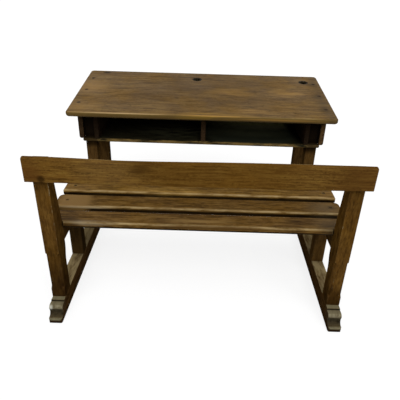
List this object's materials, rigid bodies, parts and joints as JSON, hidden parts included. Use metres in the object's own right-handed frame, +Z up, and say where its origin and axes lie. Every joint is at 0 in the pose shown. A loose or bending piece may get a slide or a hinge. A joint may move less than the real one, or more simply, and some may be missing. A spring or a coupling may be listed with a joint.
{
  "type": "school bench desk",
  "caption": "Wooden school desk and bench joined on floor runners, with a sloped fixed top, an open book box below it, lift-out inkwells, a slatted seat and a back rail.",
  "frame": {"origin": "on the floor, under the middle of the bounding box", "axes": "+X along the bench to the right of a seated pupil, +Y from the seat towards the desk, +Z up"},
  "size_m": [1.15, 1.1222, 0.654],
  "materials": {
    "top_wood": "worn varnish, satin",
    "box_wood": "dark stained, dull",
    "frame_wood": "dark stained, satin",
    "runner_wood": "scuffed, matt",
    "seat_wood": "worn varnish, satin",
    "rail_wood": "worn varnish, satin",
    "inkwell_glaze": "dark glaze, ink stained",
    "iron": "dark, rusted"
  },
  "bodies": {
    "frame": {"desk_top": "top_wood", "end_board_left": "box_wood", "end_board_right": "box_wood", "box_side_left": "box_wood", "box_side_right": "box_wood", "box_divider": "box_wood", "box_back": "box_wood", "book_shelf": "box_wood", "desk_near_leg_left": "frame_wood", "desk_near_leg_right": "frame_wood", "desk_far_leg_left": "frame_wood", "desk_far_leg_right": "frame_wood", "bench_leg_left": "frame_wood", "bench_leg_right": "frame_wood", "seat_bearer_left": "frame_wood", "seat_bearer_right": "frame_wood", "rear_post_left": "frame_wood", "rear_post_right": "frame_wood", "runner_left": "runner_wood", "runner_right": "runner_wood", "seat_slat_rear": "seat_wood", "seat_slat_middle": "seat_wood", "seat_slat_front": "seat_wood", "back_rail": "rail_wood", "top_nails_left": "iron", "top_nails_right": "iron", "slat_screws": "iron", "rail_screws": "iron"},
    "inkwell_left": {"inkwell_left": "inkwell_glaze"},
    "inkwell_right": {"inkwell_right": "inkwell_glaze"}
  },
  "joints": [
    {"name": "inkwell_left_lift", "type": "slide", "parent": "frame", "child": "inkwell_left", "axis": [0, -0.1115, 0.9938], "range_m": [0, 0.06]},
    {"name": "inkwell_right_lift", "type": "slide", "parent": "frame", "child": "inkwell_right", "axis": [0, -0.1115, 0.9938], "range_m": [0, 0.06]}
  ]
}
